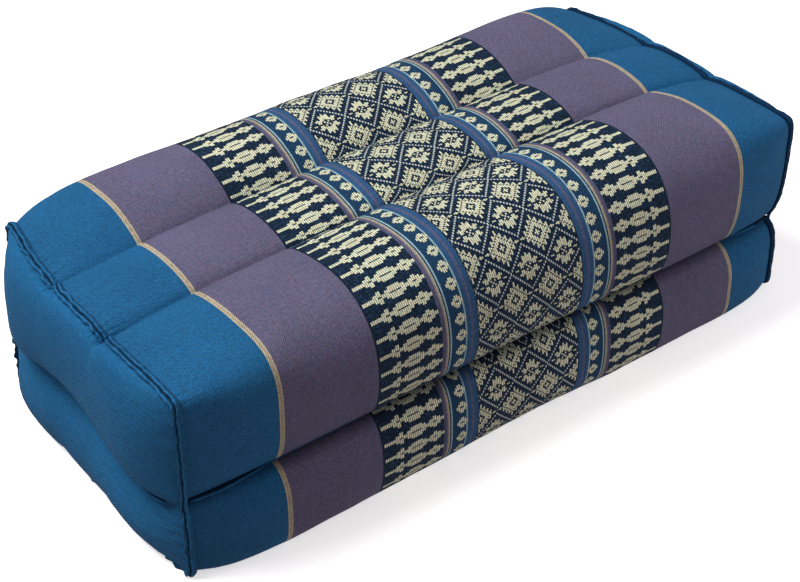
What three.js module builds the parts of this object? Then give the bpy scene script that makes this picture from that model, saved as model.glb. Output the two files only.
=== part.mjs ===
// A block meditation cushion: two stuffed tiers of three lengthwise lobes each, sewn together
// along a crease at mid height and closed at both ends by one plain panel. The cut edges of the
// end seams are left standing on the outside.
// Millimetres, +Z up. X runs along the length, -Y is the front long side, and the cushion rests
// on z = 0 with the middle of its footprint at the origin.
import * as THREE from "three";
import { mergeVertices } from "three/addons/utils/BufferGeometryUtils.js";

const HALF_LENGTH = 172; // middle to the edge of the wrap at the end seams
const GAP = 0.35; // between pieces that touch
const SHORTEST = 0.002; // length of the shortest edge that is kept

// The quilted channel lines, between the middle lobe and the outer lobes.
const CHANNELS = { front: -20.5, back: 23.5 };
const CHANNEL_RUN = 50; // distance from the seam in which the channels reach their level

// How the full lobes of the middle turn into the sharp-cornered outline at the end seams.
const CROWN_RUN = 28; // distance from the seam in which a lobe rises to its crown
const WALL_RUN = 25; // distance from the seam in which the long walls swell out
const ROUNDING_RUN = 24; // distance from the seam in which the shoulders become round
const SEAM_SHARPNESS = 9; // superellipse power of the shoulder at the seam
const TUCK_POWER = { seam: 3.2, inside: 2 }; // and between the crease and the widest line

// The crease where the two tiers meet.
const CREASE = { seamHeight: 40.5, rise: 9, seamHalfWidth: 71, bow: 10.5 };

// Each tier. Heights are of its outer face, and widest is where its long walls swell out most. The
// bulge of its ends has the powers of its outline, a dip in the middle, and low, which brings its
// fullest place nearer to the crease the smaller it is.
const TIERS = {
  upper: {
    side: 1,
    seamHeight: 97.5,
    crown: 14.5,
    crownLine: 52,
    channelSeamHeight: 95.5,
    channelRise: 8.5,
    middleCrown: 5,
    seamHalfWidth: 77,
    rightSplay: 1,
    swell: 12,
    widestAtSeam: 85,
    widestInside: 70,
    shoulderPower: 2.1,
    end: { swell: 16, dip: 0.4, across: 4.2, low: 0.82, power: 2.8 },
  },
  lower: {
    side: -1,
    seamHeight: 1,
    crown: 6,
    crownLine: 55,
    channelSeamHeight: 4.5,
    channelRise: -1.5,
    middleCrown: 8,
    seamHalfWidth: 76.5,
    rightSplay: 3.5,
    swell: 14,
    widestAtSeam: 14,
    widestInside: 26,
    shoulderPower: 3,
    end: { swell: 16, dip: 0.5, across: 3.1, low: 1.35, power: 1.8 },
  },
};

// How much higher or lower the upper tier's lobes and channels are, at three places along it.
const FULLNESS = {
  front: { left: -6, middle: 0, right: 2 },
  middle: { left: -1.5, middle: 0, right: 0 },
  back: { left: 1, middle: 2.5, right: 2 },
  channel: { left: 0, middle: 0, right: 3.5 },
};
const FULLNESS_PLACE = 0.75; // the left and right values hold at this share of the half length
const WALL_SHARE = 0.4; // of a lobe's fullness that its wall shows
const MIDDLE_SEAM_SHARE = 0.4; // of the middle lobe's crown that is left at the seam

// Slow unevenness of the hand-stuffed filling: three waves, and how far they lift a lobe.
const UNEVEN_HEIGHT = 0.8;
const WAVES = [
  { share: 0.5, perX: 0.032, perY: 0, phase: 1 },
  { share: 0.3, perX: 0.059, perY: -0.043, phase: 2.1 },
  { share: 0.2, perX: 0.021, perY: 0.071, phase: 3.7 },
];

// The end seams, seen from above and from the end.
const END = { bow: 3, creaseInset: 5, creaseRun: 7, channelInset: 1.6, channelReach: 6, uneven: 0.1 };
const CORNERS_OUT = {
  left: { upperFront: 2.4, creaseFront: 2.4, lowerFront: 2, upperBack: -5 },
  right: { upperFront: 2.8, creaseFront: -2.5, lowerFront: -0.5, upperBack: -5 },
};

// How an end's crease climbs from the front to the back, and how it arches in between.
const END_CREASE = { climb: 4.5, arch: 4.4, peak: 4.5 };

const PANEL = { thickness: 1.6, gap: 0.5 };

// The standing edges: two rolled ones on the end seams, and a thin one in the crease.
const SEAM_EDGE = { width: 4.2, height: 2.5, notch: 0.8, shoulder: 1, foot: 2.2, clear: 0.55, root: 0.7 };
const SEAM_WAVE = { height: 0.4, turns: [2.1, 0.37] };
const MIDDLE_EDGE = { width: 1.5, root: 0.6, height: 2.4, shoulder: 0.6, endGap: 4.5 };
const MIDDLE_SEAT = { side: 0.3, corner: 0.42 }; // how far out of the side crease it stands, as a share

// Mesh fineness.
const STATIONS = 29;
const STEPS = { tuck: 4, wall: 4, shoulder: 5, lobe: 5, middle: 10, fine: 24, panel: 6, ridge: 22 };

const lerp = (a, b, share) => a + (b - a) * share;
const settle = (inwards, run) => 1 - Math.exp(-inwards / run);
const fromSeam = (t) => HALF_LENGTH * (1 - Math.abs(t));

// Station s of the skin, from -1 at the left seam to 1 at the right seam, closer near the seams.
const station = (s) => Math.sin((Math.PI / 2) * lerp(-1, 1, s / (STATIONS - 1)));

// The filling's unevenness, from -1 to 1.
function unevenness(x, y, start) {
  const wave = ({ share, perX, perY, phase }) => share * Math.sin(x * perX + y * perY + start * phase);
  return WAVES.reduce((sum, each) => sum + wave(each), 0);
}

// The fullness of a lobe at station t, on a smooth curve through its three named places.
function fullness(tier, lobe, t) {
  if (tier.side < 0) return 0;
  const { left, middle, right } = FULLNESS[lobe];
  const place = t / FULLNESS_PLACE;
  const along = middle + ((right - left) / 2) * place + ((left + right) / 2 - middle) * place * place;
  return along * settle(fromSeam(t), CROWN_RUN);
}

// Points spaced evenly along a line of { y, z } points.
function resample(points, steps) {
  const lengths = [0];
  for (let i = 1; i < points.length; i++) {
    lengths.push(lengths[i - 1] + Math.hypot(points[i].y - points[i - 1].y, points[i].z - points[i - 1].z));
  }
  const total = lengths[lengths.length - 1];
  const even = [];
  let from = 0;
  for (let k = 0; k <= steps; k++) {
    const wanted = (total * k) / steps;
    while (from < points.length - 2 && lengths[from + 1] < wanted) from++;
    const share = (wanted - lengths[from]) / (lengths[from + 1] - lengths[from] || 1);
    even.push({
      y: lerp(points[from].y, points[from + 1].y, share),
      z: lerp(points[from].z, points[from + 1].z, share),
    });
  }
  return even;
}

// Part of a quarter superellipse that leaves one point along y and meets the other along z.
function quarter(alongY, alongZ, power, fromShare, toShare, steps) {
  const points = [];
  for (let i = 0; i <= steps; i++) {
    const angle = (Math.PI / 2) * lerp(fromShare, toShare, i / steps);
    points.push({
      y: lerp(alongY.y, alongZ.y, Math.pow(Math.sin(angle), 2 / power)),
      z: lerp(alongZ.z, alongY.z, Math.pow(Math.cos(angle), 2 / power)),
    });
  }
  return points;
}

// The same, with its points spaced evenly.
function evenQuarter(alongY, alongZ, power, fromShare, toShare, steps) {
  return resample(quarter(alongY, alongZ, power, fromShare, toShare, STEPS.fine), steps);
}

// The crease at station t, from -1 at the left seam to 1 at the right seam.
function creaseAt(t) {
  const swell = 1 - t * t;
  return { y: CREASE.seamHalfWidth + CREASE.bow * swell, z: CREASE.seamHeight + CREASE.rise * swell };
}

function channelHeight(tier, t) {
  const risen = tier.side * tier.channelRise * settle(fromSeam(t), CHANNEL_RUN);
  return tier.channelSeamHeight + risen + fullness(tier, "channel", t);
}

// The lower tier's filling is pressed flat where it stands.
const resting = ({ y, z }) => ({ y, z: Math.max(z, 0) });

// An outer lobe, from the crease over its widest line and its crown down to the channel line.
function outerLobe(tier, lobe, t) {
  const inwards = fromSeam(t);
  const round = settle(inwards, ROUNDING_RUN);
  const full = fullness(tier, lobe, t);
  const uneven = UNEVEN_HEIGHT * round * unevenness(t * HALF_LENGTH, tier.side, lobe.length);
  const seamY = tier.seamHalfWidth + tier.rightSplay * Math.max(0, t * t * t);
  const widest = {
    y: seamY + tier.swell * settle(inwards, WALL_RUN) + WALL_SHARE * full + uneven,
    z: lerp(tier.widestAtSeam, tier.widestInside, round),
  };
  const crown = {
    y: tier.crownLine,
    z: tier.seamHeight + tier.side * (tier.crown * settle(inwards, CROWN_RUN) + full + uneven),
  };
  const channel = { y: Math.abs(CHANNELS[lobe]), z: channelHeight(tier, t) };
  const shoulderPower = lerp(SEAM_SHARPNESS, tier.shoulderPower, round);
  const tuckPower = lerp(TUCK_POWER.seam, TUCK_POWER.inside, round);
  const slope = [];
  for (let i = 0; i <= STEPS.lobe; i++) {
    const share = i / STEPS.lobe;
    slope.push({ y: lerp(crown.y, channel.y, share), z: lerp(crown.z, channel.z, share * share) });
  }
  return [
    ...quarter(creaseAt(t), widest, tuckPower, 0, 1, STEPS.tuck),
    ...evenQuarter(crown, widest, shoulderPower, 1, 0.5, STEPS.wall).slice(1),
    ...evenQuarter(crown, widest, shoulderPower, 0.5, 0, STEPS.shoulder).slice(1),
    ...slope.slice(1),
  ].map(resting);
}

// The points of the middle lobe between its two channel lines.
function middleLobe(tier, t) {
  const low = channelHeight(tier, t);
  const crowned = lerp(MIDDLE_SEAM_SHARE, 1, settle(fromSeam(t), CROWN_RUN));
  const rise = tier.middleCrown * crowned + fullness(tier, "middle", t);
  const points = [];
  for (let i = 1; i < STEPS.middle; i++) {
    const share = i / STEPS.middle;
    const across = 2 * share - 1;
    const z = low + tier.side * rise * (1 - across * across);
    points.push({ y: lerp(CHANNELS.front, CHANNELS.back, share), z });
  }
  return points.map(resting);
}

// A tier's whole section from the front crease, over its outer face, to the back crease.
function section(tier, t) {
  const front = outerLobe(tier, "front", t).map(({ y, z }) => ({ y: -y, z }));
  const back = outerLobe(tier, "back", t).reverse();
  return [...front, ...middleLobe(tier, t), ...back];
}

// The height of an end's crease, which meets the corners at the height of the long creases.
function endCreaseHeight(y) {
  const share = y / CREASE.seamHalfWidth;
  const arch = (1 - share * share) * (END_CREASE.arch + END_CREASE.peak * Math.cos(Math.PI * share));
  return CREASE.seamHeight + END_CREASE.climb * Math.sin(Math.PI * share) + arch;
}

// How near a height is to the seam's crease, from 0 to 1.
const nearCreaseAt = (z) => Math.exp(-Math.abs(z - CREASE.seamHeight) / END.creaseRun);

// How far an end seam is pulled out or in towards its corners.
function cornerOut(t, y, z) {
  const out = t < 0 ? CORNERS_OUT.left : CORNERS_OUT.right;
  const across = Math.min(1, Math.abs(y) / CREASE.seamHalfWidth);
  const isUpper = z > CREASE.seamHeight;
  const front = lerp(isUpper ? out.upperFront : out.lowerFront, out.creaseFront, nearCreaseAt(z));
  const back = isUpper ? out.upperBack * (1 - nearCreaseAt(z)) : 0;
  return across * across * (y < 0 ? front : back);
}

// How far the end seam lies from the middle: bowed, and drawn in at the crease and the channels.
function seamReach(t, y, z) {
  const across = Math.min(1, Math.abs(y) / CREASE.seamHalfWidth);
  const nearCrease = nearCreaseAt(z);
  const creaseInset = END.creaseInset * (1 - across * across) * nearCrease;
  const nearChannel = Object.values(CHANNELS).map((line) => Math.exp(-Math.abs(y - line) / END.channelReach));
  const channelInset = END.channelInset * Math.max(...nearChannel) * (1 - nearCrease);
  const bow = END.bow * (1 - across * across);
  return HALF_LENGTH + bow - creaseInset - channelInset + cornerOut(t, y, z);
}

// How far the filling pushes an end out beyond its seam.
function endSwell(tier, end, y, z) {
  const { swell, dip, across, low, power } = tier.end;
  const aside = Math.min(1, Math.abs(y) / tier.seamHalfWidth);
  const crease = endCreaseHeight(y);
  const up = Math.min(1, Math.max(0, (z - crease) / (tier.seamHeight - crease)));
  const overCrease = Math.abs(2 * Math.pow(up, low) - 1);
  const round = Math.pow(1 - Math.pow(overCrease, power), 1 / power);
  const dipped = 1 - dip * Math.pow(1 - aside * aside, 2);
  const filled = swell * dipped * (1 + END.uneven * unevenness(z, y, tier.side));
  return (1 - Math.pow(aside, across)) * round * (filled + Math.max(0, -cornerOut(end, y, z)));
}

// The end of a tier as rows of points, from its outer edge in to the crease. Lift moves it outwards.
function endRows(tier, end, lift) {
  const outline = section(tier, end);
  const crease = creaseAt(end);
  const rows = [];
  for (let r = 0; r <= STEPS.panel; r++) {
    const share = (1 - Math.cos((Math.PI * r) / STEPS.panel)) / 2;
    rows.push(
      outline.map((edge, c) => {
        const footY = lerp(-crease.y, crease.y, c / (outline.length - 1));
        const y = lerp(edge.y, footY, share);
        const z = lerp(edge.z, endCreaseHeight(footY), share);
        const pushed = r === 0 || r === STEPS.panel ? 0 : endSwell(tier, end, y, z);
        return { x: end * (seamReach(end, y, z) + pushed + lift), y, z };
      }),
    );
  }
  return rows;
}

// A row of a tier's outer skin at station t.
function skinRow(tier, t) {
  return section(tier, t).map(({ y, z }) => ({ x: t * seamReach(t, y, z), y, z }));
}

// A row of the upper tier, raised near the crease so that it stands off the lower one.
function standOff(tier, t, row) {
  const low = creaseAt(t).z;
  const nearCrease = (z) => Math.max(0, (tier.seamHeight - z) / (tier.seamHeight - low));
  return row.map(({ x, y, z }) => ({ x, y, z: z + GAP * nearCrease(z) }));
}

const distance = (a, b) => Math.hypot(a.x - b.x, a.y - b.y, a.z - b.z);
const vector = ({ x, y, z }) => new THREE.Vector3(x, y, z);

// Two triangles for each cell of a grid of points, cut along its shorter diagonal, leaving out
// those that have shrunk to a line.
function gridFaces(rows) {
  const faces = [];
  for (let r = 0; r + 1 < rows.length; r++) {
    for (let c = 0; c + 1 < rows[r].length; c++) {
      const [a, b, d, e] = [rows[r][c], rows[r][c + 1], rows[r + 1][c + 1], rows[r + 1][c]];
      if (distance(a, d) < distance(b, e)) faces.push([a, b, d], [a, d, e]);
      else faces.push([a, b, e], [b, d, e]);
    }
  }
  return faces.filter(([a, b, c]) => Math.min(distance(a, b), distance(b, c), distance(a, c)) > SHORTEST);
}

// Triangles that fill a nearly level outline of points, which runs anticlockwise seen from above.
function flatFaces(outline) {
  const contour = outline.map(({ x, y }) => new THREE.Vector2(x, y));
  return THREE.ShapeUtils.triangulateShape(contour, []).map(([a, b, c]) => {
    const turnsLeft = contour[b].clone().sub(contour[a]).cross(contour[c].clone().sub(contour[a])) > 0;
    return turnsLeft ? [outline[a], outline[b], outline[c]] : [outline[a], outline[c], outline[b]];
  });
}

// One closed solid from triangles that all turn the same way round, faced outwards.
function solidFrom(triangles) {
  const volume = triangles.reduce((sum, [a, b, c]) => sum + vector(a).dot(vector(b).cross(vector(c))), 0);
  const outwards = volume > 0 ? triangles : triangles.map(([a, b, c]) => [a, c, b]);
  const positions = new Float32Array(outwards.flat().flatMap(({ x, y, z }) => [x, y, z]));
  const geometry = new THREE.BufferGeometry();
  geometry.setAttribute("position", new THREE.BufferAttribute(positions, 3));
  const solid = mergeVertices(geometry, SHORTEST / 2);
  solid.computeVertexNormals();
  return solid;
}

// A stuffed tier: its skin with both ends, and the face that lies on the other tier.
function tierSolid(tier) {
  const seated = (t, row) => (tier.side > 0 ? standOff(tier, t, row) : row);
  const left = endRows(tier, -1, 0).reverse().map((row) => seated(-1, row));
  const right = endRows(tier, 1, 0).map((row) => seated(1, row));
  const skin = [];
  for (let s = 1; s < STATIONS - 1; s++) {
    skin.push(seated(station(s), skinRow(tier, station(s))));
  }
  const rows = [...left, ...skin, ...right];
  const last = rows[0].length - 1;
  return solidFrom([
    ...gridFaces(rows),
    ...flatFaces([
      ...skin.map((row) => row[0]),
      ...right[STEPS.panel],
      ...skin.map((row) => row[last]).reverse(),
      ...left[0].toReversed(),
    ]),
  ]);
}

// Both tiers' ends as one sheet of rows, from the top edge down over the crease to the bottom edge.
function panelRows(end, lift) {
  const upper = endRows(TIERS.upper, end, lift);
  const lower = endRows(TIERS.lower, end, lift).reverse();
  return [...upper, ...lower.slice(1)];
}

// An end panel: one sheet of cloth that is pushed out over each tier and tucked in at the crease.
function panelSolid(end) {
  const outer = panelRows(end, PANEL.gap + PANEL.thickness);
  const inner = panelRows(end, PANEL.gap).reverse();
  return solidFrom(gridFaces([...outer, ...inner, outer[0]]));
}

// The places round one tier's end where the seam's edge stands: its corner and the two surfaces.
function seamStops(tier, end) {
  const [edge, next] = endRows(tier, end, PANEL.gap + PANEL.thickness);
  const wrap = skinRow(tier, end * station(STATIONS - 3));
  return edge.slice(1, -1).map((point, i) => {
    const corner = vector(point);
    const toPanel = vector(next[i + 1]).sub(corner).normalize();
    const toWrap = vector(wrap[i + 1]).sub(corner).normalize();
    return { corner, toPanel, toWrap };
  });
}

// The two rolled edges of an end seam, side by side, in a ring that straddles the seam's corner.
function seamSolid(end) {
  const stops = [...seamStops(TIERS.upper, end), ...seamStops(TIERS.lower, end).reverse()];
  const sections = stops.map(({ corner, toPanel, toWrap }, i) => {
    const out = toPanel.clone().add(toWrap).normalize().negate();
    const aside = toPanel.clone().sub(toWrap).normalize();
    const offPanel = out.clone().addScaledVector(toPanel, -out.dot(toPanel)).normalize();
    const offWrap = out.clone().addScaledVector(toWrap, -out.dot(toWrap)).normalize();
    const [quick, slow] = SEAM_WAVE.turns;
    const sway = SEAM_WAVE.height * Math.sin(quick * i) * Math.sin(slow * i);
    const at = (sideways, height) =>
      corner
        .clone()
        .addScaledVector(aside, sideways * SEAM_EDGE.width + sway)
        .addScaledVector(out, height + sway);
    const footOn = (along, off) =>
      corner.clone().addScaledVector(along, SEAM_EDGE.foot).addScaledVector(off, SEAM_EDGE.clear);
    const points = [
      corner.clone().addScaledVector(out, SEAM_EDGE.root),
      footOn(toPanel, offPanel),
      at(0.5, SEAM_EDGE.shoulder),
      at(0.25, SEAM_EDGE.height),
      at(0, SEAM_EDGE.height - SEAM_EDGE.notch),
      at(-0.25, SEAM_EDGE.height),
      at(-0.5, SEAM_EDGE.shoulder),
      footOn(toWrap, offWrap),
    ].map(({ x, y, z }) => ({ x, y, z: Math.max(z, 0) }));
    return [...points, points[0]];
  });
  return solidFrom(gridFaces([...sections, sections[0]]));
}

// A thin standing edge with a rounded rim: roots lie in the crease, and out points away from it.
function ridgeSolid(roots, out) {
  const sections = roots.map((root) => {
    const at = (height, half) => ({
      x: root.x + out.x * height,
      y: root.y + out.y * height,
      z: root.z + half,
    });
    const { width, root: foot, height, shoulder } = MIDDLE_EDGE;
    const points = [
      at(0, -foot / 2),
      at(shoulder * height, -width / 2),
      at(height, -width / 4),
      at(height, width / 4),
      at(shoulder * height, width / 2),
      at(0, foot / 2),
    ];
    return [...points, points[0]];
  });
  const first = sections[0];
  const last = sections[sections.length - 1];
  const startCap = first.slice(2, -1).map((p, i) => [first[0], p, first[i + 1]]);
  const endCap = last.slice(2, -1).map((p, i) => [last[0], last[i + 1], p]);
  return solidFrom([...gridFaces(sections), ...startCap, ...endCap]);
}

// The standing edge along the front (side -1) or the back (side 1) crease.
function sideRidge(side) {
  const roots = [];
  const reach = 1 - MIDDLE_EDGE.endGap / HALF_LENGTH;
  for (let i = 0; i <= STEPS.ridge; i++) {
    const t = reach * Math.sin((Math.PI / 2) * lerp(-1, 1, i / STEPS.ridge));
    const crease = creaseAt(t);
    const wall = Math.min(
      ...Object.values(TIERS).map((tier) => tier.seamHalfWidth + tier.swell * settle(fromSeam(t), WALL_RUN)),
    );
    const y = side * lerp(crease.y, wall, lerp(MIDDLE_SEAT.side, MIDDLE_SEAT.corner, t * t));
    roots.push({ x: t * HALF_LENGTH, y, z: crease.z + GAP / 2 });
  }
  return ridgeSolid(roots, { x: 0, y: side });
}

// The standing edge along the crease of an end panel, where the crease is as wide as the edge.
function endRidge(end) {
  const crease = creaseAt(end);
  const roots = [];
  const reach = crease.y - MIDDLE_EDGE.endGap;
  const aside = MIDDLE_EDGE.width / 2 + GAP;
  for (let i = 0; i <= STEPS.ridge / 2; i++) {
    const y = lerp(-reach, reach, (2 * i) / STEPS.ridge);
    const creaseHeight = endCreaseHeight(y);
    const mouths = Object.values(TIERS).map((tier) => {
      const z = creaseHeight + tier.side * aside;
      return seamReach(end, y, z) + endSwell(tier, end, y, z);
    });
    roots.push({ x: end * (Math.max(...mouths) + PANEL.gap + PANEL.thickness), y, z: creaseHeight });
  }
  return ridgeSolid(roots, { x: end, y: 0 });
}

const shades = {
  weave: { color: 0x5b5475, roughness: 0.9, metalness: 0 },
  blue: { color: 0x1f5f93, roughness: 0.9, metalness: 0 },
  edge: { color: 0x174a75, roughness: 0.95, metalness: 0 },
};

function piece(name, geometry, shade) {
  const mesh = new THREE.Mesh(geometry, new THREE.MeshStandardMaterial(shade));
  mesh.name = name;
  return mesh;
}

const cushion = new THREE.Group();
cushion.add(piece("upper_tier", tierSolid(TIERS.upper), shades.weave));
cushion.add(piece("lower_tier", tierSolid(TIERS.lower), shades.weave));
for (const [side, end] of Object.entries({ left: -1, right: 1 })) {
  cushion.add(piece(`${side}_end_panel`, panelSolid(end), shades.blue));
  cushion.add(piece(`${side}_end_seam`, seamSolid(end), shades.edge));
  cushion.add(piece(`${side}_middle_seam`, endRidge(end), shades.edge));
}
cushion.add(piece("front_middle_seam", sideRidge(-1), shades.edge));
cushion.add(piece("back_middle_seam", sideRidge(1), shades.edge));

// The footprint's middle is brought over the origin.
const middle = new THREE.Box3().setFromObject(cushion).getCenter(new THREE.Vector3());
cushion.children.forEach((mesh) => mesh.geometry.translate(-middle.x, -middle.y, 0));

export default cushion;
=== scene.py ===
"""A block meditation cushion: two stuffed tiers wrapped in banded cloth, plain end panels, and
the standing seam edges. Lengths inside the shape functions are millimetres; meshes are metres."""
from math import cos, exp, hypot, pi, radians, sin

import bmesh
import bpy
from bpy.props import FloatProperty, FloatVectorProperty, IntProperty, PointerProperty
from mathutils import Matrix, Vector, noise


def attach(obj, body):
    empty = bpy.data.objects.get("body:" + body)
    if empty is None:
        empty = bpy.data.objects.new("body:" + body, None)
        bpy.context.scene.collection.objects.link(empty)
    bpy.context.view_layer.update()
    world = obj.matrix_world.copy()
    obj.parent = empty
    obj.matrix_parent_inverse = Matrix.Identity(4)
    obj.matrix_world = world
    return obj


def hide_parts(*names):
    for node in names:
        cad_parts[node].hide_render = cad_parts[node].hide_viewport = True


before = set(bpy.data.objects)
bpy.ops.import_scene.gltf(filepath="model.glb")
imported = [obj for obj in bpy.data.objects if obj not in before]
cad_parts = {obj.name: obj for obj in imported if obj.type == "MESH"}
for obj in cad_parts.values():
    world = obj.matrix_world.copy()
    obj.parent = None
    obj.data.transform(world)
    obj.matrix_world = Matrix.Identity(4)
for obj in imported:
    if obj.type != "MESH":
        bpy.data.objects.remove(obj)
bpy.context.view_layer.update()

bl_info = {
    "name": "Block cushion",
    "version": (1, 0, 0),
    "blender": (4, 5, 0),
    "location": "3D View > Sidebar > Cushion",
    "description": "Builds a two-tier block meditation cushion on its packed frame",
    "category": "Object",
}

MM = 0.001

# The solids' own sizes, in millimetres.
CENTRING = (-0.06, 0.181)
HALF_LENGTH = 172.0
CHANNELS = {"front": -20.5, "back": 23.5}
RUNS = {"channel": 50.0, "crown": 28.0, "wall": 25.0, "rounding": 24.0}
SEAM_SHARPNESS = 9.0
TUCK_POWER = {"seam": 3.2, "inside": 2.0}
CREASE = {"seam_height": 40.5, "rise": 9.0, "seam_half_width": 71.0, "bow": 10.5}
UPPER = dict(
    side=1, seam_height=97.5, crown=14.5, crown_line=52.0, channel_seam_height=95.5,
    channel_rise=8.5, middle_crown=5.0, seam_half_width=77.0, right_splay=1.0, swell=12.0,
    widest_at_seam=85.0, widest_inside=70.0, shoulder_power=2.1,
    end=dict(swell=16.0, dip=0.4, across=4.2, low=0.82, power=2.8),
)
LOWER = dict(
    side=-1, seam_height=1.0, crown=6.0, crown_line=55.0, channel_seam_height=4.5,
    channel_rise=-1.5, middle_crown=8.0, seam_half_width=76.5, right_splay=3.5, swell=14.0,
    widest_at_seam=14.0, widest_inside=26.0, shoulder_power=3.0,
    end=dict(swell=16.0, dip=0.5, across=3.1, low=1.35, power=1.8),
)
FULLNESS = {
    "front": (-6.0, 0.0, 2.0),
    "middle": (-1.5, 0.0, 0.0),
    "back": (1.0, 2.5, 2.0),
    "channel": (0.0, 0.0, 3.5),
}
FULLNESS_PLACE = 0.75
WALL_SHARE = 0.4
MIDDLE_SEAM_SHARE = 0.4
UNEVEN_HEIGHT = 0.8
WAVES = ((0.5, 0.032, 0.0, 1.0), (0.3, 0.059, -0.043, 2.1), (0.2, 0.021, 0.071, 3.7))
END = dict(bow=3.0, crease_inset=5.0, crease_run=7.0, channel_inset=1.6, channel_reach=6.0, uneven=0.1)
END_CREASE = dict(climb=4.5, arch=4.4, peak=4.5)
CORNERS_OUT = {-1: (2.4, 2.4, 2.0, -5.0), 1: (2.8, -2.5, -0.5, -5.0)}
TIER_GAP = 0.35
PANEL = dict(thickness=1.6, gap=0.5)
POLYLINE = 24  # points of each curve before it is spaced evenly

# The mesh: columns round a lobe, stations along the length, rows down an end.
OUTER_COLUMNS = 38
MIDDLE_COLUMNS = 20
STATIONS = 150
END_ROWS = 20

# How the sewn cloth gives: the groove of a channel, and the puckers that run out from a seam.
GROOVE = dict(front=(2.9, 1.5), back=(0.5, 0.8), right_share=0.1, reach=1.7, fade=18.0)
PUCKER = dict(channel=0.55, channel_reach=6.0, seam=0.7, seam_reach=8.0, pitch=6.5)
DIMPLES = dict(depth=0.35, pitch=22.0)
TAKEN_UP = dict(front=7.9, back=3.1, reach=2.6)

# The woven pattern. Distances along the length are from the middle, in millimetres.
ROW_PITCH = 8.33
RIB = 1.033
MOTIF_START = 83.25
MOTIF_COUNTS = (  # ribs, half height, half height of the slit in the middle
    (6, 0.85, 0), (2, 1.85, 0), (2, 2.9, 0.33), (2, 0.85, 0), (2, 1.9, 0), (6, 2.9, 0.28),
    (2, 1.9, 0), (2, 0.85, 0), (2, 1.85, 0), (2, 2.85, 0.33), (2, 1.85, 0), (2, 0.8, 0),
    (7, 0, 0), (1, 0.8, 0), (1, 1.9, 0), (2, 2.85, 0.4), (1, 1.9, 0), (1, 0.8, 0), (3, 0, 0),
)
LATTICE_HALF = 30.3
STAR_CENTRE = 1.1
STAR_PITCH = 20.15
LATTICE_PITCH = 3 * ROW_PITCH
LATTICE_RIBS = 20
STAR_OUTER = (6.5, 5.2, 5.7, 2.7, 3.4, 2.9, 0.35, 0.35, 0, 0, 0)
STAR_INNER = (2.5, 2.0, 1.8, 0.5, 0.5, 1.9, 0, 0, 0, 0, 0)


def lerp(a, b, share):
    return a + (b - a) * share


def settle(inwards, run):
    return 1 - exp(-inwards / run)


def from_seam(t):
    return HALF_LENGTH * (1 - abs(t))


def unevenness(x, y, start):
    """Slow unevenness of the filling, from -1 to 1."""
    return sum(share * sin(x * px + y * py + start * phase) for share, px, py, phase in WAVES)


def fullness(tier, lobe, t):
    """How much higher a lobe stands at station t than its tier says."""
    if tier["side"] < 0:
        return 0.0
    left, middle, right = FULLNESS[lobe]
    place = t / FULLNESS_PLACE
    along = middle + (right - left) / 2 * place + ((left + right) / 2 - middle) * place * place
    return along * settle(from_seam(t), RUNS["crown"])


def quarter(along_y, along_z, power, first, last, steps):
    """Part of a quarter superellipse that leaves one point along y and meets the other along z."""
    points = []
    for i in range(steps + 1):
        angle = pi / 2 * lerp(first, last, i / steps)
        points.append((
            lerp(along_y[0], along_z[0], max(0.0, sin(angle)) ** (2 / power)),
            lerp(along_z[1], along_y[1], max(0.0, cos(angle)) ** (2 / power)),
        ))
    return points


def resample(points, shares):
    """Points at these shares of the length of a line of points."""
    lengths = [0.0]
    for a, b in zip(points, points[1:]):
        lengths.append(lengths[-1] + hypot(b[0] - a[0], b[1] - a[1]))
    even, k = [], 0
    for wanted in (lengths[-1] * share for share in shares):
        while k < len(points) - 2 and lengths[k + 1] < wanted:
            k += 1
        share = (wanted - lengths[k]) / ((lengths[k + 1] - lengths[k]) or 1)
        even.append(tuple(lerp(a, b, share) for a, b in zip(points[k], points[k + 1])))
    return even


def crease_at(t):
    swell = 1 - t * t
    return (
        CREASE["seam_half_width"] + CREASE["bow"] * swell,
        CREASE["seam_height"] + CREASE["rise"] * swell,
    )


def channel_height(tier, t):
    risen = tier["side"] * tier["channel_rise"] * settle(from_seam(t), RUNS["channel"])
    return tier["channel_seam_height"] + risen + fullness(tier, "channel", t)


def outer_lobe(tier, lobe, t):
    """An outer lobe from the crease over its widest line and its crown to the channel line."""
    inwards = from_seam(t)
    rounded = settle(inwards, RUNS["rounding"])
    full = fullness(tier, lobe, t)
    uneven = UNEVEN_HEIGHT * rounded * unevenness(t * HALF_LENGTH, tier["side"], len(lobe))
    seam_y = tier["seam_half_width"] + tier["right_splay"] * max(0.0, t ** 3)
    risen = tier["crown"] * settle(inwards, RUNS["crown"]) + full + uneven
    widest = (
        seam_y + tier["swell"] * settle(inwards, RUNS["wall"]) + WALL_SHARE * full + uneven,
        lerp(tier["widest_at_seam"], tier["widest_inside"], rounded),
    )
    crown = (tier["crown_line"], tier["seam_height"] + tier["side"] * risen)
    channel = (abs(CHANNELS[lobe]), channel_height(tier, t))
    shoulder = lerp(SEAM_SHARPNESS, tier["shoulder_power"], rounded)
    tuck = lerp(TUCK_POWER["seam"], TUCK_POWER["inside"], rounded)
    slope = []
    for i in range(1, POLYLINE + 1):
        share = i / POLYLINE
        slope.append((lerp(crown[0], channel[0], share), lerp(crown[1], channel[1], share ** 2)))
    wall = quarter(crease_at(t), widest, tuck, 0, 1, POLYLINE)
    return wall + quarter(crown, widest, shoulder, 1, 0, 2 * POLYLINE)[1:] + slope


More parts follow.
